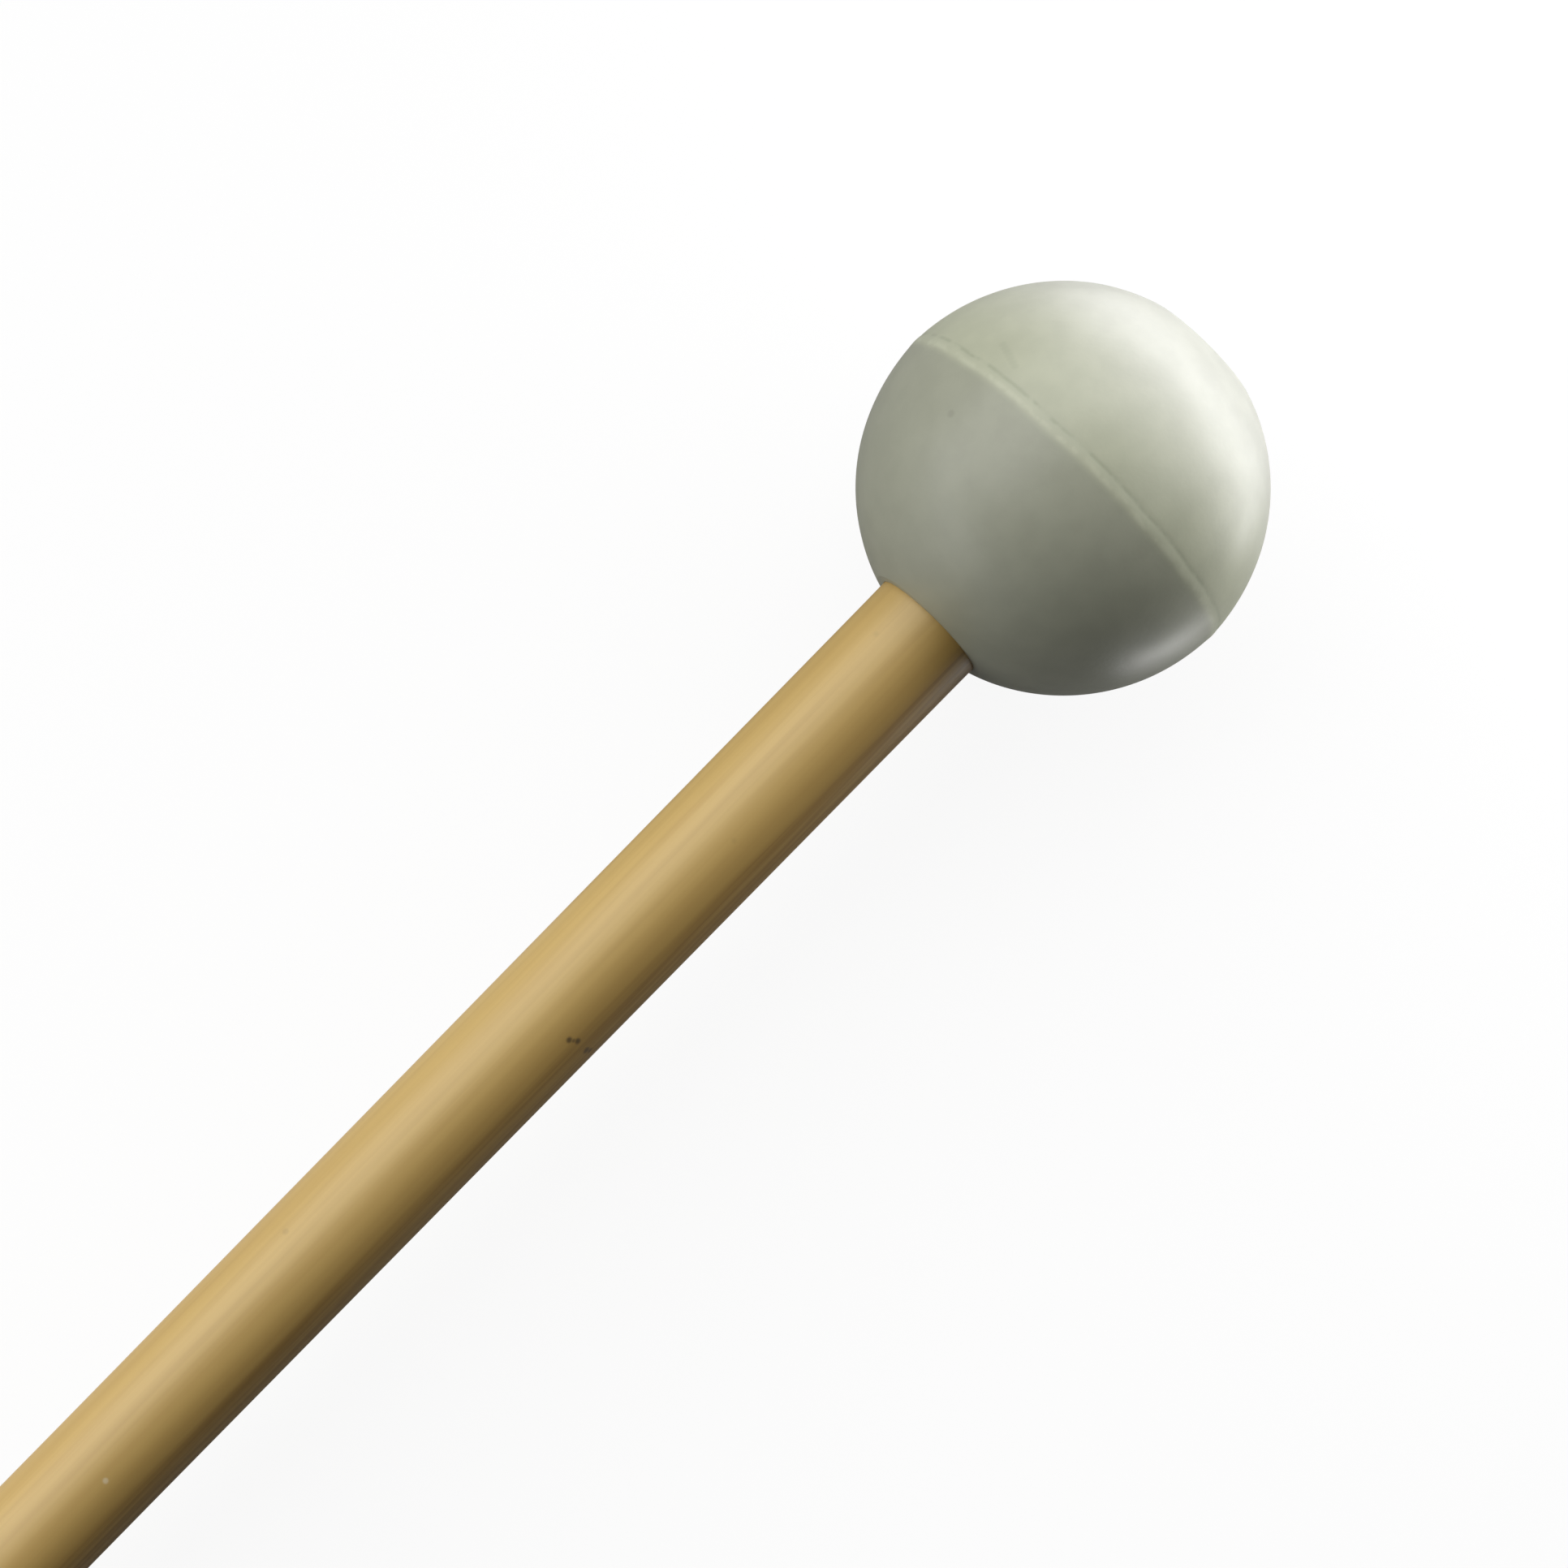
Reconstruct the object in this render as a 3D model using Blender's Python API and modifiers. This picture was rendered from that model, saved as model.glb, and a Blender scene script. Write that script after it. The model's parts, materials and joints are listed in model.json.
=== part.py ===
"""Xylophone mallet: a moulded rubber ball glued onto the end of a slim wooden shaft.

Every piece is turned about one line, the axis of the shaft. A piece is drawn as half an outline,
as (radius, height) points with the height measured from the butt end, and carried round the line.
The mallet lies on the plane z = 0, where it rests on the ball's moulding seam and on the butt end,
with the head towards +X and the origin under the middle of its box.
"""

import math

import bmesh
import bpy
from mathutils import Matrix, Vector

# Driving dimensions, in metres.
OVERALL_LENGTH = 0.370
BALL_DIAMETER = 0.0285
EQUATOR_SWELL = 0.00012
SWELL_HALF_ANGLE = math.radians(20)
FRONT_FLAT_DIAMETER = 0.0097
FLAT_EDGE_RADIUS = 0.0008

SEAM_OFFSET = 0.00016
SEAM_WIDTH = 0.0008
SEAM_HEIGHT = 0.00005

SHAFT_HEAD_DIAMETER = 0.0085
SHAFT_BODY_DIAMETER = 0.00815
SHAFT_TAPER_LENGTH = 0.080
BUTT_EDGE_RADIUS = 0.0012

TENON_DIAMETER = 0.0077
TENON_TIP_RADIUS = 0.0006
SHOULDER_DEPTH = 0.0015
SOCKET_DEPTH = 0.019
MOUTH_RIM_WIDTH = 0.0005
MOUTH_EDGE_RADIUS = 0.00015
BOND_FLOOR = 0.0004

SIDE_CLEARANCE = 0.0001
END_CLEARANCE = 0.00015

SIDES = 48
ARC_STEP = math.radians(6)
FILLET_STEPS = 4

# Worked out from the driving dimensions. Heights are measured from the butt end.
BALL_RADIUS = BALL_DIAMETER / 2
FRONT_FLAT_RADIUS = FRONT_FLAT_DIAMETER / 2
SOCKET_RADIUS = SHAFT_HEAD_DIAMETER / 2 + SIDE_CLEARANCE
REAR_FLAT_RADIUS = SOCKET_RADIUS + MOUTH_RIM_WIDTH
FRONT_FLAT_LATITUDE = math.acos(FRONT_FLAT_RADIUS / BALL_RADIUS)
REAR_FLAT_LATITUDE = -math.acos(REAR_FLAT_RADIUS / BALL_RADIUS)
SEAM_LATITUDE = math.asin(SEAM_OFFSET / BALL_RADIUS)
BALL_CENTRE = OVERALL_LENGTH - BALL_RADIUS * math.sin(FRONT_FLAT_LATITUDE)
MOUTH = BALL_CENTRE + BALL_RADIUS * math.sin(REAR_FLAT_LATITUDE)
SOCKET_FLOOR = MOUTH + SOCKET_DEPTH
BOND_TOP = SOCKET_FLOOR - END_CLEARANCE
BOND_INSIDE_TOP = BOND_TOP - BOND_FLOOR
TENON_TIP = BOND_INSIDE_TOP - END_CLEARANCE
SHOULDER = MOUTH + SHOULDER_DEPTH
BOND_BOTTOM = SHOULDER + END_CLEARANCE
BOND_RADIUS = SOCKET_RADIUS - SIDE_CLEARANCE
BOND_INSIDE_RADIUS = TENON_DIAMETER / 2 + SIDE_CLEARANCE


def clear_scene():
    """Removes whatever the scene holds."""
    for old in list(bpy.data.objects):
        bpy.data.objects.remove(old, do_unlink=True)


def make_collection(name):
    """A collection linked to the scene."""
    collection = bpy.data.collections.new(name)
    bpy.context.scene.collection.children.link(collection)
    return collection


def make_material(name, colour, roughness, metallic=0.0):
    """A plain Principled material."""
    material = bpy.data.materials.new(name)
    material.use_nodes = True
    shader = material.node_tree.nodes["Principled BSDF"]
    shader.inputs["Base Color"].default_value = (*colour, 1.0)
    shader.inputs["Roughness"].default_value = roughness
    shader.inputs["Metallic"].default_value = metallic
    material.diffuse_color = (*colour, 1.0)
    return material


def fillet(before, corner, after, radius):
    """The points of an arc that rounds off a corner between two straight runs."""
    corner = Vector(corner)
    back = Vector(before) - corner
    onward = Vector(after) - corner
    half_angle = back.angle(onward) / 2
    reach = min(radius / math.tan(half_angle), 0.9 * back.length, 0.9 * onward.length)
    radius = reach * math.tan(half_angle)
    inward = (back.normalized() + onward.normalized()).normalized()
    centre = corner + inward * (radius / math.sin(half_angle))
    start = corner + back.normalized() * reach - centre
    turn = start.angle_signed(corner + onward.normalized() * reach - centre)
    steps = [turn * step / FILLET_STEPS for step in range(FILLET_STEPS + 1)]
    return [tuple(centre + Matrix.Rotation(-angle, 2) @ start) for angle in steps]


def ball_point(latitude):
    """The ball's surface at a latitude: a sphere that swells a little at its seam."""
    away = (latitude - SEAM_LATITUDE) / SWELL_HALF_ANGLE
    radius = BALL_RADIUS + EQUATOR_SWELL * math.exp(-away * away)
    return radius * math.cos(latitude), BALL_CENTRE + radius * math.sin(latitude)


def ball_arc(upper, lower):
    """Points down the ball's outer side between two latitudes, both included."""
    steps = max(2, round((upper - lower) / ARC_STEP))
    return [ball_point(upper + (lower - upper) * step / steps) for step in range(steps + 1)]


def seam_ridge():
    """The low flat-topped ridge that the mould leaves round the ball."""
    radius, height = ball_point(SEAM_LATITUDE)
    crest = radius + SEAM_HEIGHT
    return [(crest, height + SEAM_WIDTH / 4), (crest, height - SEAM_WIDTH / 4)]


def ball_outline():
    """The head: front flat, ball and seam, rear flat, then up inside the blind socket."""
    half_seam = SEAM_WIDTH / 2 / BALL_RADIUS
    front_arc = ball_arc(FRONT_FLAT_LATITUDE, SEAM_LATITUDE + half_seam)
    rear_arc = ball_arc(SEAM_LATITUDE - half_seam, REAR_FLAT_LATITUDE)
    front_pole = (0.0, front_arc[0][1])
    mouth_edge = (SOCKET_RADIUS, rear_arc[-1][1])
    socket_corner = (SOCKET_RADIUS, SOCKET_FLOOR)
    return [
        front_pole,
        *fillet(front_pole, front_arc[0], front_arc[1], FLAT_EDGE_RADIUS),
        *front_arc[1:],
        *seam_ridge(),
        *rear_arc[:-1],
        *fillet(rear_arc[-2], rear_arc[-1], mouth_edge, MOUTH_RIM_WIDTH / 2),
        *fillet(rear_arc[-1], mouth_edge, socket_corner, MOUTH_EDGE_RADIUS),
        socket_corner,
        (0.0, SOCKET_FLOOR),
    ]


def shaft_outline():
    """The shaft: tenon, shoulder, the slight taper behind the head, and the rounded butt end."""
    head_radius = SHAFT_HEAD_DIAMETER / 2
    body_radius = SHAFT_BODY_DIAMETER / 2
    tenon_radius = TENON_DIAMETER / 2
    tip = (0.0, TENON_TIP)
    tip_edge = (tenon_radius, TENON_TIP)
    tenon_foot = (tenon_radius, SHOULDER)
    taper_end = (body_radius, MOUTH - SHAFT_TAPER_LENGTH)
    butt_edge = (body_radius, 0.0)
    butt = (0.0, 0.0)
    return [
        tip,
        *fillet(tip, tip_edge, tenon_foot, TENON_TIP_RADIUS),
        tenon_foot,
        (head_radius, SHOULDER),
        (head_radius, MOUTH),
        taper_end,
        *fillet(taper_end, butt_edge, butt, BUTT_EDGE_RADIUS),
        butt,
    ]


def bond_outline():
    """The cured adhesive: a thin cup over the tenon, open towards the shaft."""
    return [
        (0.0, BOND_TOP),
        (BOND_RADIUS, BOND_TOP),
        (BOND_RADIUS, BOND_BOTTOM),
        (BOND_INSIDE_RADIUS, BOND_BOTTOM),
        (BOND_INSIDE_RADIUS, BOND_INSIDE_TOP),
        (0.0, BOND_INSIDE_TOP),
    ]


def turned(name, outline, material, axis, collection):
    """An outline carried round the axis. Its flats touch the true circle, with one of them lowest."""
    widen = 1 / math.cos(math.pi / SIDES)
    points = [(radius * widen, 0.0, height) for radius, height in outline]
    edges = [(index, index + 1) for index in range(len(points) - 1)]
    drawing = bpy.data.meshes.new(name + "_outline")
    drawing.from_pydata(points, edges, [])
    piece = bpy.data.objects.new(name, drawing)
    collection.objects.link(piece)
    screw = piece.modifiers.new("turn", "SCREW")
    screw.axis = "Z"
    screw.steps = SIDES
    screw.render_steps = SIDES
    screw.use_merge_vertices = True
    screw.merge_threshold = 0.00001
    piece.data = solid_mesh(piece)
    piece.data.name = name
    piece.modifiers.clear()
    piece.data.materials.append(material)
    piece.parent = axis
    piece.rotation_euler = (0.0, 0.0, math.pi / SIDES)
    bpy.data.meshes.remove(drawing)
    return piece


def solid_mesh(piece):
    """The piece's finished mesh, welded, smooth on its round faces and sharp at its corners."""
    graph = bpy.context.evaluated_depsgraph_get()
    mesh = bpy.data.meshes.new_from_object(piece.evaluated_get(graph))
    shape = bmesh.new()
    shape.from_mesh(mesh)
    bmesh.ops.remove_doubles(shape, verts=shape.verts, dist=0.00001)
    shape.to_mesh(mesh)
    shape.free()
    mesh.shade_smooth()
    mesh.set_sharp_from_angle(angle=math.radians(30))
    return mesh


def resting_tilt(head, shaft):
    """The slope of the axis when the butt end and the ball both touch the table.

    The butt touches where its cylinder ends, and the head at the point that stands the steepest
    above that one."""
    contact = SHAFT_BODY_DIAMETER / 2, min(h for r, h in shaft if r >= SHAFT_BODY_DIAMETER / 2 - 1e-7)
    slopes = [
        math.atan2(radius - contact[0], height - contact[1])
        for radius, height in head
        if radius > contact[0]
    ]
    return max(slopes), contact


def place_axis(axis, head, shaft):
    """Lays the axis down, and centres the mallet's box over the origin."""
    tilt, contact = resting_tilt(head, shaft)
    lift = contact[0] * math.cos(tilt) - contact[1] * math.sin(tilt)
    along = [
        height * math.cos(tilt) + side * radius * math.sin(tilt)
        for radius, height in head + shaft
        for side in (-1, 1)
    ]
    axis.rotation_euler = (0.0, math.pi / 2 - tilt, 0.0)
    axis.location = (-(min(along) + max(along)) / 2, 0.0, lift)


def build_mallet():
    """Makes the three pieces on their common axis."""
    clear_scene()
    parts = make_collection("xylophone_mallet")
    axis = bpy.data.objects.new("shaft_axis", None)
    axis.empty_display_size = BALL_RADIUS
    parts.objects.link(axis)
    rubber = make_material("grey_green_rubber", (0.32, 0.33, 0.27), 0.38)
    wood = make_material("golden_wood", (0.52, 0.35, 0.13), 0.45)
    glue = make_material("amber_adhesive", (0.62, 0.40, 0.12), 0.25)
    head = ball_outline()
    shaft = shaft_outline()
    place_axis(axis, head, shaft)
    turned("head_ball", head, rubber, axis, parts)
    turned("shaft", shaft, wood, axis, parts)
    turned("adhesive_bond", bond_outline(), glue, axis, parts)


build_mallet()
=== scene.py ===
"""The looks of a xylophone mallet: a grey-green moulded rubber ball on a golden wooden shaft.

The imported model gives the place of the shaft's axis. Each piece is a fine surface carried round
that axis, with its own node material, and lies where its plain solid lies.
"""

import json
import math

import bpy
import numpy as np
from mathutils import Matrix, Vector


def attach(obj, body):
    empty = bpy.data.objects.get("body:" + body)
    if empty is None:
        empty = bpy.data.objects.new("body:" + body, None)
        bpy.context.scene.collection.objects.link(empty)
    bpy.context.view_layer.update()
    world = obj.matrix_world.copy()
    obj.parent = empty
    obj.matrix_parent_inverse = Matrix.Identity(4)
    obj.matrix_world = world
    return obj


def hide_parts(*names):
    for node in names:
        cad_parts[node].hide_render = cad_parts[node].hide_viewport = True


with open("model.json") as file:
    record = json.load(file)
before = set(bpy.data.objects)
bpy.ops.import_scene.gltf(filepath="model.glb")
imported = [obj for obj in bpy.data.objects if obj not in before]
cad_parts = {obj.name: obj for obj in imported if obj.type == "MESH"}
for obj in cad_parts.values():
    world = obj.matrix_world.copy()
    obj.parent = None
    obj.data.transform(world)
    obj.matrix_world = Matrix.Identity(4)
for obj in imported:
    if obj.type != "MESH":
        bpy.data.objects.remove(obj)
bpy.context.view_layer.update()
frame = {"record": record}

MM = 0.001


def mount_place(name):
    """Where the record's mount of that name lies."""
    return next(np.array(m["pos_m"]) for m in frame["record"]["mounts"] if m["name"] == name)


# The mallet's own directions: along the axis to the head, sideways, and up out of the table.
BUTT = mount_place("butt_face")
FRONT = mount_place("front_flat")
LENGTH = float(np.linalg.norm(FRONT - BUTT))
AXIS = (FRONT - BUTT) / LENGTH
SIDE = np.array((0.0, 1.0, 0.0))
UP = np.cross(AXIS, SIDE)

# Sizes of the solids that the fine surfaces follow.
BALL_RADIUS = 14.25 * MM
EQUATOR_SWELL = 0.12 * MM
SWELL_HALF_ANGLE = math.radians(20)
FLAT_RADIUS = 4.85 * MM
FLAT_EDGE = 0.8 * MM
SEAM_OFFSET = 0.16 * MM
SEAM_HALF_WIDTH = 0.40 * MM
REAR_EDGE = 0.25 * MM
MOUTH_EDGE = 0.05 * MM
MOUTH_CLOSE = 0.5 * MM
MOUTH_OPEN = 1.2 * MM
SHAFT_HEAD_RADIUS = 4.25 * MM
SHAFT_BODY_RADIUS = 4.075 * MM
TAPER_LENGTH = 80 * MM
BUTT_EDGE = 1.2 * MM
TENON_RADIUS = 3.85 * MM
TENON_EDGE = 0.6 * MM
SHOULDER_DEPTH = 1.5 * MM
SOCKET_DEPTH = 19 * MM
SOCKET_RADIUS = 4.35 * MM
BOND_FLOOR = 0.4 * MM
SIDE_GAP = 0.1 * MM
END_GAP = 0.15 * MM

# What the fine surfaces leave free: round the shaft at the mouth, and at the front flat.
LIP_GAP = 0.01 * MM
FRONT_TRIM = 0.002 * MM

FLAT_REACH = math.sqrt(BALL_RADIUS**2 - FLAT_RADIUS**2)
FLAT_LATITUDE = math.acos(FLAT_RADIUS / BALL_RADIUS)
SEAM_LATITUDE = math.asin(SEAM_OFFSET / BALL_RADIUS)
BALL_CENTRE = LENGTH - FLAT_REACH
MOUTH = BALL_CENTRE - FLAT_REACH
SHOULDER = MOUTH + SHOULDER_DEPTH
SOCKET_FLOOR = MOUTH + SOCKET_DEPTH
BOND_TOP = SOCKET_FLOOR - END_GAP
BOND_INSIDE_TOP = BOND_TOP - BOND_FLOOR
TENON_TIP = BOND_INSIDE_TOP - END_GAP

# How many points go round each surface, and the turn between faces that makes an edge sharp.
HEAD_COLUMNS = 400
SHAFT_COLUMNS = 160
BOND_COLUMNS = 96
SHARP_ANGLE = math.radians(35)

# The seam's relief: how high its crest stands, and where the trough ahead of it lies.
CREST_HEIGHT = 0.025 * MM
TROUGH_DEPTH = 0.008 * MM
TROUGH_AHEAD = 0.64 * MM
TROUGH_HALF_WIDTH = 0.24 * MM

# How far the seam lies behind its plane, and how far it slants, in millimetres.
SEAM_SETBACK = 0.22
SEAM_SLANT = 0.06

# The seam's uneven edge: waves round the ball, where each starts, and its reach in millimetres.
SEAM_WAVES = ((3, 0.4, 0.02), (7, 2.9, 0.03), (11, 1.9, 0.03), (19, 0.3, 0.02), (31, 4.0, 0.012))

# Unevenness of the surfaces: the ball's lumps, the shaft's hollows and the glue's rim.
LUMP_HEIGHT = 0.008 * MM
HOLLOW_DEPTH = 0.018 * MM
RIM_WAVE = 0.08 * MM

# A painted highlight on the seam's crest, over a paler flash line, and painted shade in the trough
# ahead of it: where each lies, and how far it reaches.
CREST_HIGHLIGHT_LINE = (0.0, 0.38 * MM)
DIP_SHADE_LINE = (0.62 * MM, 0.26 * MM)

# Marks on the ball: millimetres ahead of the seam, turn in degrees, reach, and strength.
# The first is a speck, and the others make a faint streak.
HEAD_MARKS = (
    (-3.7, 40.5, 0.42, 0.22),
    (2.32, 44, 0.42, 0.11),
    (2.19, 42.5, 0.42, 0.11),
    (2.06, 41, 0.42, 0.11),
    (1.93, 39.5, 0.42, 0.11),
    (1.8, 38, 0.42, 0.11),
    (1.67, 36.5, 0.42, 0.11),
    (1.55, 35, 0.42, 0.11),
)

# Flecks of the wood: millimetres behind the ball's middle, turn in degrees, reach, and strength.
# The first five are dark, and the last three faint.
DARK_FLECKS = (
    (51.6, -33.6, 0.34, 0.8),
    (51.4, -37.7, 0.24, 0.6),
    (51.2, -41.8, 0.34, 0.8),
    (51.1, -60.8, 0.40, 0.7),
    (50.9, -66.0, 0.34, 0.6),
    (16.9, 30.6, 0.35, 0.12),
    (34.0, -10.8, 0.35, 0.10),
    (74.5, 34.9, 0.35, 0.15),
)
PALE_FLECKS = ((95.2, -11, 0.3, 0.5),)

# The heart of the tree beside the shaft's axis, and the growth rings' pitch.
TREE_HEART = (0.0, 24 * MM, -17 * MM)
RING_PITCH = 1.3 * MM

# The studio floor: how far it runs flat, its bend, the wall's top, and how far it lies below
# the table plane. Lengths are in metres.
FLAT_FLOOR = 6.0
FLOOR_BEND = 0.6
WALL_TOP = 1.5
FLOOR_DROP = 0.02 * MM

# Soft lamps round the ball: bearing and rise in degrees, distance, width, height, and share of
# full light.
SOFT_BOXES = {
    "top_panel": (84, 46, 0.8, 1.6, 0.84, 1.32),
    "rear_box": (180, 10, 0.8, 0.5, 0.3, 0.04),
    "shaft_panel": (142, 14, 0.20, 0.22, 0.08, 0.26),
    "low_box_0": (-50, 2, 0.10, 0.046, 0.034, 0.12),
    "low_box_1": (-25, 2, 0.10, 0.046, 0.034, 0.32),
    "low_box_2": (0, 2, 0.10, 0.046, 0.034, 0.26),
    "low_box_3": (25, 2, 0.10, 0.046, 0.034, 0.16),
    "front_panel": (-14, 34, 0.16, 0.2, 0.14, 0.65),
}

# Lit patches of the table: bearing in degrees, distance, width, depth, and share of full light.
LIT_PATCHES = {
    "front_table_0": (-42, 0.06, 0.034, 0.04, 0.50),
    "front_table_1": (-10, 0.06, 0.034, 0.04, 0.04),
    "front_table_2": (22, 0.06, 0.034, 0.04, 0.27),
    "side_table": (-99, 0.0345, 0.018, 0.008, 0.21),
    "shaft_table": (166, 0.134, 0.04, 0.18, 0.05),
}
PATCH_HEIGHT = 0.3 * MM
AIR_LIGHT = 0.02

# The photograph's frame, in pixels, and what it shows of the camera's place.
PICTURE_SIDE = 1932
BALL_PIXEL = (1309.9, 601.8)
BALL_PIXEL_RADIUS = 255.5
SHAFT_SLOPE = math.radians(45.55)
VIEW_LEAN = math.radians(9.6)
CAMERA_DISTANCE = 1.1


def place(height, radius, turn):
    """World points from heights along the axis, radii and turns round it, as whole arrays.

    A point is the butt plus its height along the axis, plus its radius times the cosine of the
    turn upwards and the sine sideways."""
    across = np.cos(turn)[..., None] * UP + np.sin(turn)[..., None] * SIDE
    return BUTT + height[..., None] * AXIS + radius[..., None] * across


def straight(start, end, steps):
    """Points evenly along a straight run of the outline, without its end."""
    part = np.arange(steps)[:, None] / steps
    return np.array(start) * (1 - part) + np.array(end) * part


def rounded(before, corner, after, radius, steps):
    """The arc that rounds a corner: its centre lies on the corner's bisector, and its ends where
    the arc touches both straight runs."""
    before, corner, after = np.array(before), np.array(corner), np.array(after)
    back = (before - corner) / np.linalg.norm(before - corner)
    onward = (after - corner) / np.linalg.norm(after - corner)
    half = np.arccos(np.clip(back @ onward, -1, 1)) / 2
    centre = corner + (back + onward) / np.linalg.norm(back + onward) * radius / np.sin(half)
    start = corner + back * radius / np.tan(half) - centre
    end = corner + onward * radius / np.tan(half) - centre
    sweep = np.arctan2(start[0] * end[1] - start[1] * end[0], start @ end)
    angles = sweep * np.arange(steps + 1) / steps
    first = np.stack((np.cos(angles), np.sin(angles)), 1)
    second = np.stack((-np.sin(angles), np.cos(angles)), 1)
    return centre + start[0] * first + start[1] * second


def surface_mesh(name, points, marks=()):
    """A closed mesh from a grid of points. Its columns go round, and its first and last rows are poles.

    Each pole becomes one point with a fan of triangles, and quads join the rings between. The marks
    are named values for each point, which a material can read."""
    rows, columns = points.shape[:2]
    rings = points[1:-1].reshape(-1, 3)
    ends = np.stack((points[0].mean(0), points[-1].mean(0)))
    index = np.arange((rows - 2) * columns).reshape(rows - 2, columns)
    following = np.roll(index, -1, 1)
    quads = np.stack((index[:-1], index[1:], following[1:], following[:-1]), -1).reshape(-1, 4)
    first, last = index.size, index.size + 1
    opening = np.stack((np.full(columns, first), index[0], following[0]), -1)
    closing = np.stack((np.full(columns, last), following[-1], index[-1]), -1)
    mesh = bpy.data.meshes.new(name)
    faces = quads.tolist() + opening.tolist() + closing.tolist()
    mesh.from_pydata(np.concatenate((rings, ends)).tolist(), [], faces)
    for label, values in marks:
        layer = mesh.attributes.new(label, "FLOAT", "POINT")
        flat = np.concatenate((values[1:-1].ravel(), (values[0].mean(), values[-1].mean())))
        layer.data.foreach_set("value", flat.astype(np.float32))
    mesh.shade_smooth()
    mesh.set_sharp_from_angle(angle=SHARP_ANGLE)
    piece = bpy.data.objects.new(name, mesh)
    bpy.context.scene.collection.objects.link(piece)
    return piece


def seam_drift(turn):
    """How far the seam strays ahead of its plane at each turn, as a sum of sines.

    It lies a little behind the plane on the whole. The first sine is a slight slant of the mould's
    plane, and the others are its uneven edge."""
    stray = SEAM_SLANT * np.sin(turn) - SEAM_SETBACK
    for waves, start, reach in SEAM_WAVES:
        stray = stray + reach * np.sin(waves * turn + start)
    return stray * MM


def ball_outline():
    """The head's half outline: out of the socket, over the rear flat, round the ball, to the front.

    The socket narrows at its mouth, where the ball closes round the shaft."""
    lip = SHAFT_HEAD_RADIUS + LIP_GAP
    near_seam = math.radians(5)
    latitudes = np.concatenate((
        np.linspace(-FLAT_LATITUDE, SEAM_LATITUDE - near_seam, 54, endpoint=False),
        np.linspace(SEAM_LATITUDE - near_seam, SEAM_LATITUDE + near_seam, 60, endpoint=False),
        np.linspace(SEAM_LATITUDE + near_seam, FLAT_LATITUDE, 54),
    ))
    arc = np.stack((BALL_RADIUS * np.cos(latitudes), BALL_CENTRE + BALL_RADIUS * np.sin(latitudes)), 1)
    rear = BALL_CENTRE - FLAT_REACH
    front = BALL_CENTRE + FLAT_REACH - FRONT_TRIM
    rear_edge = rounded((lip, rear), (FLAT_RADIUS, rear), arc[4], REAR_EDGE, 6)
    front_edge = rounded(arc[-4], (FLAT_RADIUS, front), (0, front), FLAT_EDGE, 10)
    kept = arc[(arc[:, 1] > rear_edge[-1, 1]) & (arc[:, 1] < front_edge[0, 1])]
    return np.concatenate((
        straight((0, SOCKET_FLOOR), (SOCKET_RADIUS, SOCKET_FLOOR), 4),
        straight((SOCKET_RADIUS, SOCKET_FLOOR), (SOCKET_RADIUS, rear + MOUTH_OPEN), 12),
        straight((SOCKET_RADIUS, rear + MOUTH_OPEN), (lip, rear + MOUTH_CLOSE), 3),
        rounded((lip, rear + MOUTH_CLOSE), (lip, rear), (FLAT_RADIUS, rear), MOUTH_EDGE, 5),
        rear_edge,
        kept,
        front_edge,
        straight((front_edge[-1, 0], front), (0, front), 12)[1:],
        np.array([(0, front)]),
    ))


def make_head():
    """The moulded ball. Its outer side is a sphere that swells at the seam, with a wavy ridge on it.

    Across the seam, the swell falls as the exponential of the distance, the ridge is a bell curve,
    and a lower bell curve ahead of it is taken away. The lumps are sines round and along the ball."""
    outline = ball_outline()
    turn = np.linspace(0, 2 * np.pi, HEAD_COLUMNS, endpoint=False)[None, :]
    radius, height = (np.repeat(outline[:, k, None], turn.size, 1) for k in (0, 1))
    reach = np.hypot(radius, height - BALL_CENTRE)
    latitude = np.arctan2(height - BALL_CENTRE, radius)
    ahead = BALL_RADIUS * (latitude - SEAM_LATITUDE) - seam_drift(turn)
    on_ball = np.clip((reach / BALL_RADIUS - 0.985) / 0.015, 0, 1)
    on_ball *= np.clip((FLAT_LATITUDE - np.abs(latitude)) / math.radians(8), 0, 1)
    away = np.abs(latitude - SEAM_LATITUDE) / SWELL_HALF_ANGLE
    swell = EQUATOR_SWELL * np.exp(-1.6 * np.sqrt(away**2 + 0.004))
    ridge = CREST_HEIGHT * np.exp(-((ahead / SEAM_HALF_WIDTH) ** 2))
    trough = TROUGH_DEPTH * np.exp(-(((ahead - TROUGH_AHEAD) / TROUGH_HALF_WIDTH) ** 2))
    lumps = LUMP_HEIGHT * (np.sin(3 * turn + 4 * latitude) + np.sin(5 * turn - 7 * latitude + 1.3))
    grow = 1 + on_ball * (swell + ridge - trough + lumps) / reach
    points = place(BALL_CENTRE + (height - BALL_CENTRE) * grow, radius * grow, turn + 0 * radius)
    return surface_mesh("rubber_head", points, [("ahead_of_seam", ahead)])


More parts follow.
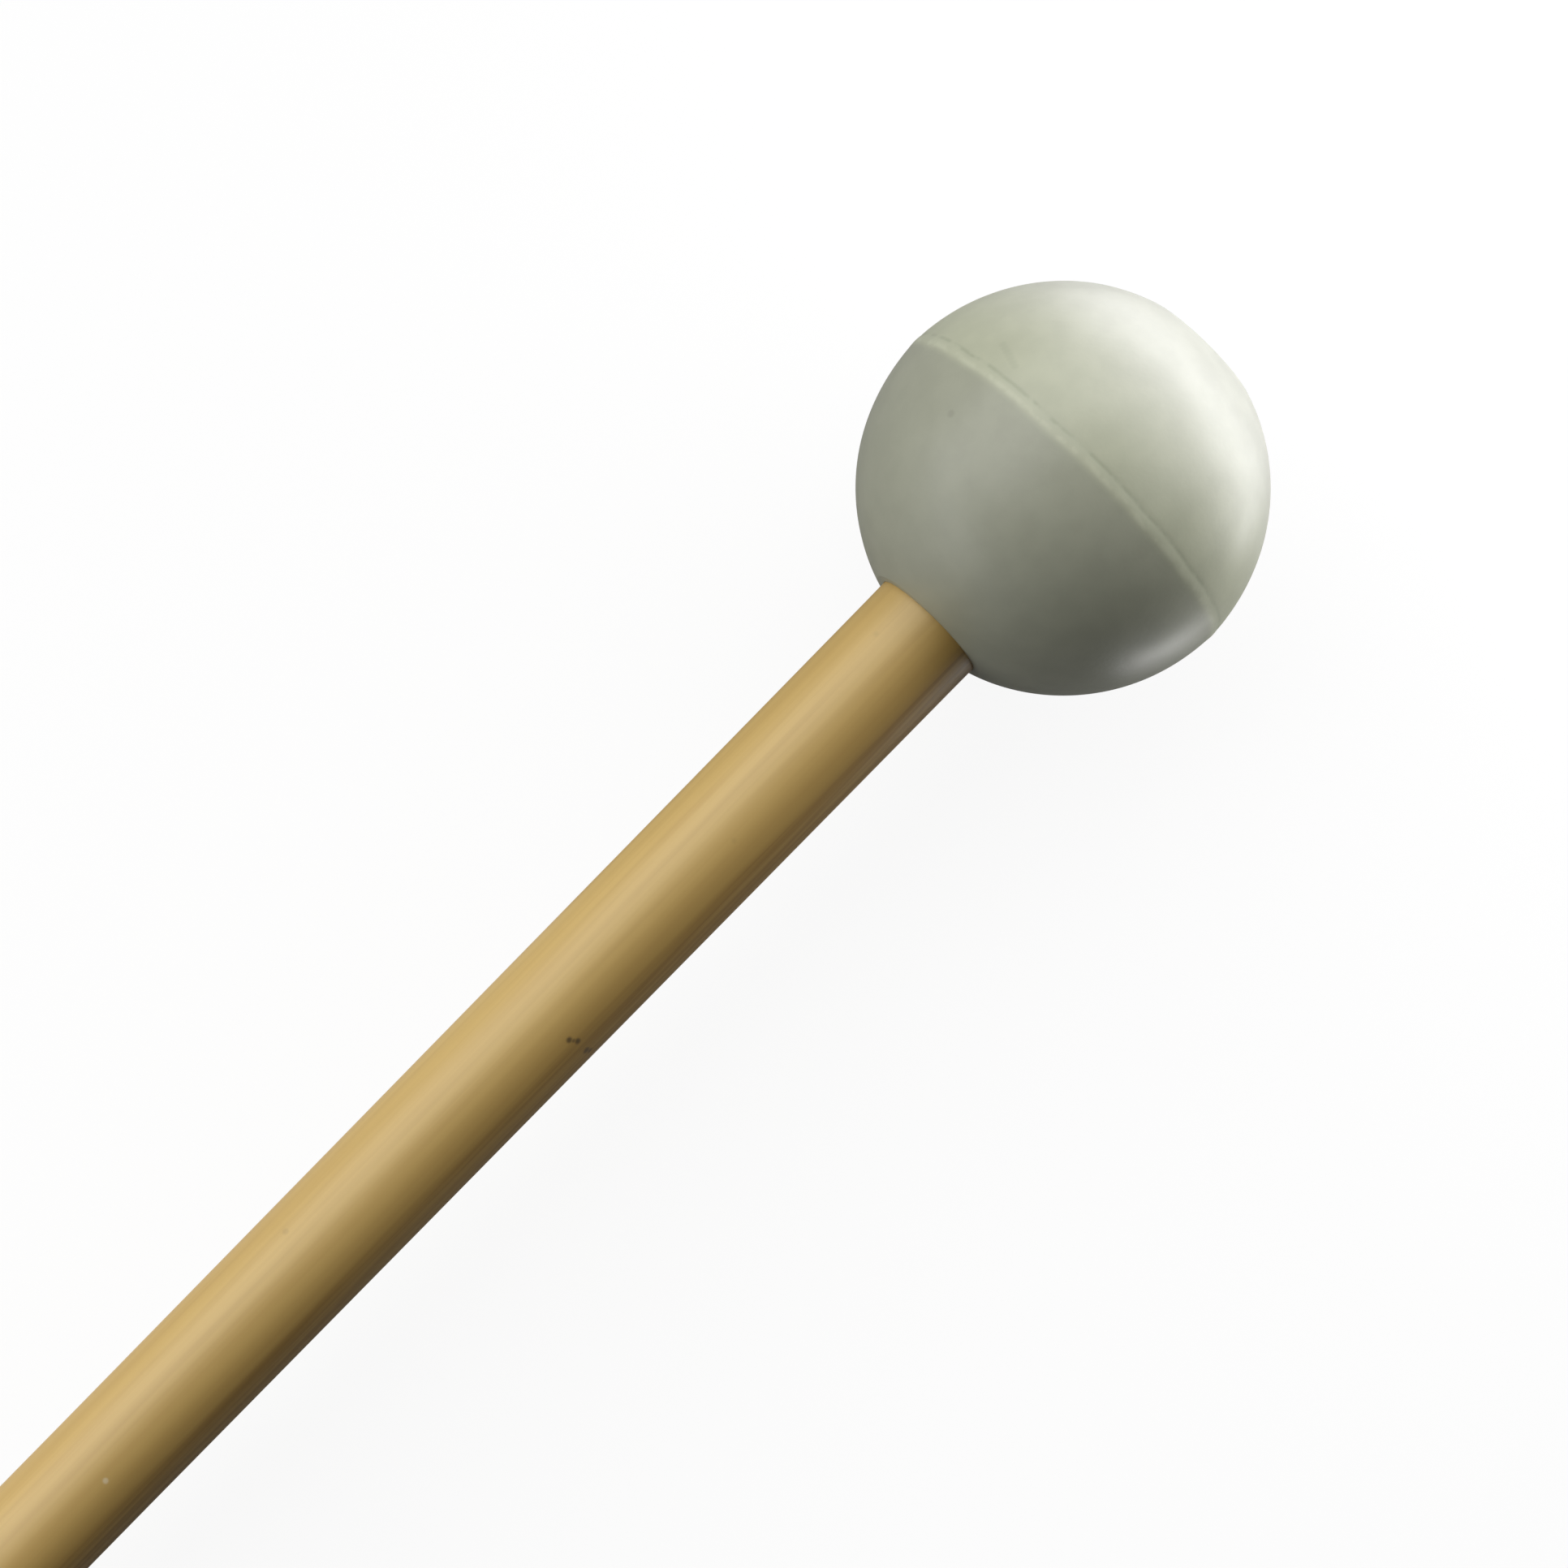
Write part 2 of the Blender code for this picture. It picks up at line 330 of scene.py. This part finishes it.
def shaft_outline():
    """The shaft's half outline: butt, body, the slight taper to the head, shoulder and tenon."""
    taper_start = MOUTH - TAPER_LENGTH
    butt_corner, tip_corner = (SHAFT_BODY_RADIUS, 0), (TENON_RADIUS, TENON_TIP)
    edge = rounded((0, 0), butt_corner, (SHAFT_BODY_RADIUS, taper_start), BUTT_EDGE, 10)
    tip = rounded((TENON_RADIUS, SHOULDER), tip_corner, (0, TENON_TIP), TENON_EDGE, 5)
    return np.concatenate((
        straight((0, 0), edge[0], 16),
        edge[:-1],
        straight(edge[-1], (SHAFT_BODY_RADIUS, taper_start), 330),
        straight((SHAFT_BODY_RADIUS, taper_start), (SHAFT_HEAD_RADIUS, MOUTH), 120),
        straight((SHAFT_HEAD_RADIUS, MOUTH), (SHAFT_HEAD_RADIUS, SHOULDER), 3),
        straight((SHAFT_HEAD_RADIUS, SHOULDER), (TENON_RADIUS, SHOULDER), 2),
        straight((TENON_RADIUS, SHOULDER), tip[0], 12),
        tip,
        np.array([(0, TENON_TIP)]),
    ))


def make_shaft():
    """The wooden shaft. Its surface lies lower by up to two hundredths of a millimetre, in long waves.

    The waves are two sines of the turn and the height. They die away at the mouth and the butt."""
    outline = shaft_outline()
    turn = np.linspace(0, 2 * np.pi, SHAFT_COLUMNS, endpoint=False)[None, :]
    radius, height = (np.repeat(outline[:, k, None], turn.size, 1) for k in (0, 1))
    wander = np.sin(2 * turn + 9 * height) + 0.6 * np.sin(3 * turn - 31 * height + 1.0)
    hollow = HOLLOW_DEPTH * (wander + 1.6) / 3.2
    shown = np.clip((MOUTH - height) / (2 * MM), 0, 1) * np.clip(height / BUTT_EDGE, 0, 1)
    shown *= radius > 0.5 * SHAFT_BODY_RADIUS
    points = place(height, radius - hollow * shown, turn + 0 * radius)
    return surface_mesh("wooden_shaft", points)


def make_bond():
    """The cured glue: a thin cup over the tenon. Its rim rises and falls as two sines of the turn."""
    inside, outside = TENON_RADIUS + SIDE_GAP, SOCKET_RADIUS - SIDE_GAP
    rim = SHOULDER + END_GAP
    outline = np.concatenate((
        straight((0, BOND_INSIDE_TOP), (inside, BOND_INSIDE_TOP), 4),
        straight((inside, BOND_INSIDE_TOP), (inside, rim), 12),
        straight((inside, rim), (outside, rim), 3),
        straight((outside, rim), (outside, BOND_TOP), 12),
        straight((outside, BOND_TOP), (0, BOND_TOP), 4),
        np.array([(0, BOND_TOP)]),
    ))
    turn = np.linspace(0, 2 * np.pi, BOND_COLUMNS, endpoint=False)[None, :]
    radius, height = (np.repeat(outline[:, k, None], turn.size, 1) for k in (0, 1))
    on_rim = height < rim + 0.01 * MM
    uneven = RIM_WAVE * (1 + np.sin(3 * turn) * np.sin(7 * turn + 1)) * on_rim
    return surface_mesh("glue_bond", place(height + uneven, radius, turn + 0 * radius))


class Finish:
    """A node material, put together one node at a time on the piece's own coordinates."""

    def __init__(self, name):
        self.material = bpy.data.materials.new(name)
        self.material.use_nodes = True
        self.tree = self.material.node_tree
        self.shader = self.tree.nodes["Principled BSDF"]
        self.here = self.tree.nodes.new("ShaderNodeTexCoord").outputs["Object"]

    def put(self, socket, value):
        """Links a socket, or sets a plain value."""
        if isinstance(value, bpy.types.NodeSocket):
            self.tree.links.new(value, socket)
        else:
            socket.default_value = value

    def node(self, kind, inputs, output=0, **settings):
        """A new node with its settings and inputs, by name or number. Gives one of its outputs."""
        made = self.tree.nodes.new("ShaderNode" + kind)
        for key, value in settings.items():
            setattr(made, key, value)
        for key, value in inputs.items():
            self.put(made.inputs[key], value)
        return made.outputs[output]

    def along_shaft(self, stretch):
        """Coordinates whose X runs along the shaft from the butt, stretched there by a factor."""
        tilt = math.asin(AXIS[2])
        moved = self.node("Mapping", {"Vector": self.here, "Location": tuple(-BUTT)})
        turned = self.node("Mapping", {"Vector": moved, "Rotation": (0, tilt, 0)})
        return self.node("Mapping", {"Vector": turned, "Scale": (1 / stretch, 1, 1)})

    def noise(self, where, scale, detail=3.0, roughness=0.5):
        """Soft noise from 0 to 1, with its scale in features per metre."""
        inputs = {"Vector": where, "Scale": scale, "Detail": detail, "Roughness": roughness}
        return self.node("TexNoise", inputs)

    def spread(self, value, low, high, to_low=0.0, to_high=1.0):
        """Takes the stretch from low to high smoothly to another one."""
        inputs = {"Value": value, 1: low, 2: high, 3: to_low, 4: to_high}
        return self.node("MapRange", inputs, interpolation_type="SMOOTHSTEP")

    def line(self, value, middle, reach):
        """One at the middle value, falling smoothly to nothing at that reach on both sides."""
        apart = self.maths("ABSOLUTE", self.maths("SUBTRACT", value, middle))
        return self.spread(apart, 0.0, reach, 1.0, 0.0)

    def marks(self, places):
        """Small round marks, each given as its place, its reach and its strength."""
        strongest = 0.0
        for spot, reach, strength in places:
            apart = self.apart(self.here, spot)
            mark = self.spread(apart, 0.3 * reach, reach, strength, 0.0)
            strongest = self.maths("MAXIMUM", mark, strongest)
        return strongest

    def apart(self, first, second):
        """The distance between two places."""
        return self.node("VectorMath", {0: first, 1: second}, output="Value", operation="DISTANCE")

    def maths(self, operation, first, second=0.0):
        """One sum on two values."""
        return self.node("Math", {0: first, 1: second}, operation=operation)

    def blend(self, share, first, second):
        """A mix of two colours."""
        inputs = {0: share, 6: first, 7: second}
        return self.node("Mix", inputs, output=2, data_type="RGBA")

    def bump(self, height, distance):
        """A relief of that depth, in metres."""
        return self.node("Bump", {"Height": height, "Distance": distance})

    def finish(self, **inputs):
        """Sets the shader's inputs by name, with spaces written as underscores."""
        for key, value in inputs.items():
            self.put(self.shader.inputs[key.replace("_", " ")], value)
        return self.material


def display(red, green, blue):
    """A colour from its usual 0 to 255 display values, as linear light."""
    def light(value):
        share = value / 255
        return share / 12.92 if share <= 0.04045 else ((share + 0.055) / 1.055) ** 2.4
    return light(red), light(green), light(blue), 1.0


def head_place(ahead, turn):
    """The point of the ball so many millimetres ahead of the seam, at a turn in degrees."""
    latitude = SEAM_LATITUDE + ahead * MM / BALL_RADIUS
    along = np.array(BALL_CENTRE + BALL_RADIUS * math.sin(latitude))
    across = np.array(BALL_RADIUS * math.cos(latitude))
    return tuple(place(along, across, np.array(math.radians(turn))))


def shaft_place(behind, turn):
    """The point of the shaft so many millimetres behind the ball's middle, at a turn in degrees."""
    along = np.array(BALL_CENTRE - behind * MM)
    return tuple(place(along, np.array(SHAFT_BODY_RADIUS), np.array(math.radians(turn))))


def rubber_finish():
    """Smooth hard rubber, lighter ahead of the seam than behind it, with a painted highlight that makes
    it palest toward the front and another along the seam's crest, on a paler flash line. Painted shade
    lies in the trough ahead of the crest. Faint clouds, a speck and a streak lie on it."""
    f = Finish("moulded_rubber")
    ahead = f.node("Attribute", {}, output="Fac", attribute_name="ahead_of_seam")
    side = f.spread(ahead, -0.7 * MM, 0.0)
    tone = f.blend(side, display(159, 161, 143), display(176, 179, 156))
    # Painted highlight: the rubber pales toward the front, where the light falls strongest.
    painted_front_light = f.spread(ahead, 1 * MM, 13 * MM)
    tone = f.blend(f.maths("MULTIPLY", painted_front_light, 0.7), tone, display(189, 189, 185))
    cloud = f.spread(f.noise(f.here, 480, 4), 0.32, 0.68, 0.94, 1.0)
    mottled = f.node("VectorMath", {0: tone, "Scale": cloud}, operation="SCALE")
    patchy = f.spread(f.noise(f.here, 900, 2), 0.38, 0.6, 0.2, 1.0)
    # A painted highlight along the seam's crest, over a paler flash line, and painted shade in the
    # trough ahead of it.
    crest_highlight = f.maths("MULTIPLY", f.line(ahead, *CREST_HIGHLIGHT_LINE), patchy)
    highlighted = f.blend(f.maths("MULTIPLY", crest_highlight, 0.45), mottled, display(196, 199, 176))
    dip_shade = f.maths("MULTIPLY", f.line(ahead, *DIP_SHADE_LINE), patchy)
    shaded = f.blend(f.maths("MULTIPLY", dip_shade, 0.4), highlighted, display(136, 141, 119))
    spots = f.marks([(head_place(*spot), reach * MM, share) for *spot, reach, share in HEAD_MARKS])
    marked = f.blend(spots, shaded, display(104, 108, 90))
    relief = f.bump(f.noise(f.here, 2600, 2), 0.000008)
    shine = f.spread(f.noise(f.here, 420, 3), 0.3, 0.7, 0.39, 0.44)
    return f.finish(Base_Color=marked, Roughness=shine, Specular_IOR_Level=0.65, Normal=relief)


def wood_finish():
    """Golden wood under a thin satin lacquer, with growth rings, fine fibres, a few small flecks, and
    bare end grain at the butt. Painted shade makes its right side warmer and darker, in a streaky band
    at the edge.

    The rings are sines of the distance from the tree's heart, which noise bends a little."""
    f = Finish("golden_wood")
    lengthwise = f.along_shaft(60)
    across = f.along_shaft(1)
    fibres = f.noise(f.along_shaft(40), 2400, 4)
    broad = f.noise(f.along_shaft(30), 330, 3)
    bends = f.maths("MULTIPLY", f.noise(lengthwise, 160, 2), 0.8 * MM)
    wavy = f.maths("ADD", f.apart(lengthwise, TREE_HEART), bends)
    rings = f.maths("SINE", f.maths("MULTIPLY", wavy, 2 * math.pi / RING_PITCH))
    light = f.blend(f.spread(broad, 0.3, 0.7), display(190, 158, 90), display(201, 170, 101))
    ringed = f.blend(f.spread(rings, -0.2, 1.0, 0.0, 0.11), light, display(170, 134, 72))
    grained = f.blend(f.spread(fibres, 0.4, 0.75, 0.0, 0.2), ringed, display(166, 128, 66))
    # Painted shade: the shaft's right side, away from the light, is warmer and darker, and darkest in a
    # streaky band along its edge.
    ragged = f.maths("MULTIPLY", f.noise(lengthwise, 300, 3), 0.5 * MM)
    edge = f.maths("ADD", f.node("SeparateXYZ", {0: across}, output="Y"), ragged)
    warm_shade = f.blend(f.spread(edge, -2.6 * MM, 1.2 * MM, 0.4, 0.0), grained, display(188, 148, 72))
    shade_streaks = f.spread(fibres, 0.35, 0.65, 0.4, 0.8)
    shade_band = f.maths("MULTIPLY", f.spread(edge, -2.7 * MM, -2.05 * MM, 1.0, 0.0), shade_streaks)
    surface = f.blend(shade_band, warm_shade, display(146, 109, 42))
    for flecks, colour in ((DARK_FLECKS, display(74, 56, 30)), (PALE_FLECKS, display(226, 214, 184))):
        spots = f.marks([(shaft_place(*spot), reach * MM, share) for *spot, reach, share in flecks])
        surface = f.blend(spots, surface, colour)
    butt = f.spread(f.node("SeparateXYZ", {0: across}), 0.1 * MM, 1.0 * MM, 1.0, 0.0)
    pores = f.spread(f.noise(across, 5200, 2), 0.56, 0.66, 0.0, 0.55)
    cut_rings = f.blend(rings, display(178, 142, 84), display(150, 114, 62))
    end_grain = f.blend(pores, cut_rings, display(92, 66, 34))
    surface = f.blend(butt, surface, end_grain)
    relief = f.bump(fibres, 0.000005)
    return f.finish(Base_Color=surface, Roughness=0.5, Specular_IOR_Level=0.9, Normal=relief)


def glue_finish():
    """Cured amber glue."""
    f = Finish("amber_glue")
    cloud = f.noise(f.here, 900, 3)
    colour = f.blend(cloud, display(204, 170, 98), display(176, 138, 70))
    return f.finish(Base_Color=colour, Roughness=0.25)


def make_sweep():
    """The pale studio floor, which curves up into a low round wall far behind everything.

    Its outline is flat to the bend, then a quarter circle, then a straight wall."""
    bend = np.linspace(0, np.pi / 2, 16)
    wall = FLAT_FLOOR + FLOOR_BEND
    reach = np.concatenate(((0.0, 1.0, 3.0), FLAT_FLOOR + FLOOR_BEND * np.sin(bend), (wall,)))
    rise = np.concatenate(((0.0, 0.0, 0.0), FLOOR_BEND - FLOOR_BEND * np.cos(bend), (WALL_TOP,)))
    turn = np.linspace(0, 2 * np.pi, 96, endpoint=False)
    level = np.repeat(rise[:, None], turn.size, 1) - FLOOR_DROP
    rings = np.stack((np.outer(reach, np.cos(turn)), np.outer(reach, np.sin(turn)), level), -1)
    index = np.arange(reach.size * turn.size).reshape(reach.size, turn.size)
    following = np.roll(index, -1, 1)
    quads = np.stack((index[:-1], index[1:], following[1:], following[:-1]), -1)[1:].reshape(-1, 4)
    mesh = bpy.data.meshes.new("studio_sweep")
    fan = np.stack((index[0], index[1], following[1]), -1)
    mesh.from_pydata(rings.reshape(-1, 3).tolist(), [], quads.tolist() + fan.tolist())
    mesh.shade_smooth()
    sweep = bpy.data.objects.new("studio_sweep", mesh)
    bpy.context.scene.collection.objects.link(sweep)
    mesh.materials.append(sweep_finish())


def sweep_finish():
    """White paper. Where the camera or a reflection sees it, part of its white is its own, so that
    it stays white but keeps the mallet's shadow. It throws less light back than it shows, and a
    gloss mirrors it faintly."""
    f = Finish("white_paper")
    paths = f.tree.nodes.new("ShaderNodeLightPath").outputs
    mirrored = f.maths("MULTIPLY", paths["Is Glossy Ray"], 0.07)
    seen = f.maths("MAXIMUM", paths["Is Camera Ray"], paths["Is Transmission Ray"])
    seen = f.maths("MAXIMUM", seen, mirrored)
    white = f.blend(seen, (0.2, 0.2, 0.2, 1), (0.98, 0.98, 0.98, 1))
    paper = f.node("BsdfDiffuse", {"Color": white})
    glow = f.node("Emission", {"Color": (1, 1, 1, 1), "Strength": 1.0})
    mixed = f.node("MixShader", {0: f.maths("MULTIPLY", seen, 0.9), 1: paper, 2: glow})
    f.put(f.tree.nodes["Material Output"].inputs["Surface"], mixed)
    return f.material


def area_lamp(name, where, facing, width, depth, watts):
    """A rectangular lamp at a place, which shines the way it faces and isn't seen by the camera."""
    lamp = bpy.data.lights.new(name, "AREA")
    lamp.shape = "RECTANGLE"
    lamp.size, lamp.size_y = width, depth
    lamp.energy = watts
    holder = bpy.data.objects.new(name, lamp)
    holder.location = where
    holder.rotation_euler = facing
    holder.visible_camera = False
    bpy.context.scene.collection.objects.link(holder)


def soft_box(name, bearing, rise, distance, width, height, share):
    """A soft lamp aimed at the ball, from a bearing round it and an angle above the table.

    Its share is the part of plain full light that it alone throws on a face turned to it. The power
    for that is the share times pi squared times the distance squared."""
    bearing, rise = math.radians(bearing), math.radians(rise)
    level = math.cos(rise)
    way = Vector((level * math.cos(bearing), level * math.sin(bearing), math.sin(rise)))
    where = Vector(BUTT + BALL_CENTRE * AXIS) + way * distance
    facing = way.to_track_quat("Z", "Y").to_euler()
    area_lamp(name, where, facing, width, height, share * (math.pi * distance) ** 2)


def light_table(name, bearing, distance, width, depth, share):
    """A lit patch of the table beside the ball, which shines upwards only. Its power is reckoned
    from its share as a soft box's is."""
    bearing = math.radians(bearing)
    middle = BUTT + BALL_CENTRE * AXIS
    ahead, aside = distance * math.cos(bearing), distance * math.sin(bearing)
    facing = (math.pi, 0, bearing + math.pi / 2)
    where = (middle[0] + ahead, aside, PATCH_HEIGHT)
    area_lamp(name, where, facing, width, depth, share * (math.pi * distance) ** 2)


def light_studio():
    """Plain soft light: a long panel at the left, panels beside the shaft and before the head, a low
    row of boxes round the head, lit patches of the table, and a little light from all round."""
    for name, values in SOFT_BOXES.items():
        soft_box(name, *values)
    for name, values in LIT_PATCHES.items():
        light_table(name, *values)
    world = bpy.data.worlds.new("studio_air")
    world.use_nodes = True
    air = world.node_tree.nodes["Background"].inputs
    air["Color"].default_value = (1, 1, 1, 1)
    air["Strength"].default_value = AIR_LIGHT
    bpy.context.scene.world = world


def aim_camera():
    """Stands the camera where the ball and the shaft fall on the photograph's pixels.

    It looks at the ball from above and a little from the butt's side. Two directions are known both
    in the room and in the picture: the line of sight to the ball, and the normal of the plane that
    holds that line and the shaft. The camera's turn takes the second pair to the first."""
    centre = BUTT + BALL_CENTRE * AXIS
    toward = math.cos(VIEW_LEAN) * UP - math.sin(VIEW_LEAN) * AXIS
    focal = CAMERA_DISTANCE / BALL_RADIUS * BALL_PIXEL_RADIUS
    half = PICTURE_SIDE / 2
    picture = (Vector((BALL_PIXEL[0] - half, half - BALL_PIXEL[1], -focal)).normalized(),
               Vector((math.cos(SHAFT_SLOPE), math.sin(SHAFT_SLOPE), 0)))
    room = Vector(-toward), Vector(AXIS)
    bases = []
    for sight, shaft in (picture, room):
        normal = sight.cross(shaft).normalized()
        bases.append(Matrix((sight, normal, sight.cross(normal))).transposed())
    data = bpy.data.cameras.new("camera")
    data.sensor_width = 36.0
    data.lens = focal / PICTURE_SIDE * data.sensor_width
    data.clip_start, data.clip_end = 0.01, 100.0
    camera = bpy.data.objects.new("camera", data)
    turn = bases[1] @ bases[0].inverted()
    camera.matrix_world = Matrix.Translation(centre + toward * CAMERA_DISTANCE) @ turn.to_4x4()
    bpy.context.scene.collection.objects.link(camera)
    bpy.context.scene.camera = camera


def dress(piece, node, material):
    """Gives a piece its finish, and lets it stand for its plain solid."""
    piece.data.materials.append(material)
    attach(piece, "root")
    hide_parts(node)


aim_camera()
light_studio()
make_sweep()
dress(make_head(), "head_ball", rubber_finish())
dress(make_shaft(), "shaft", wood_finish())
dress(make_bond(), "adhesive_bond", glue_finish())
bpy.context.scene.view_settings.view_transform = "Standard"
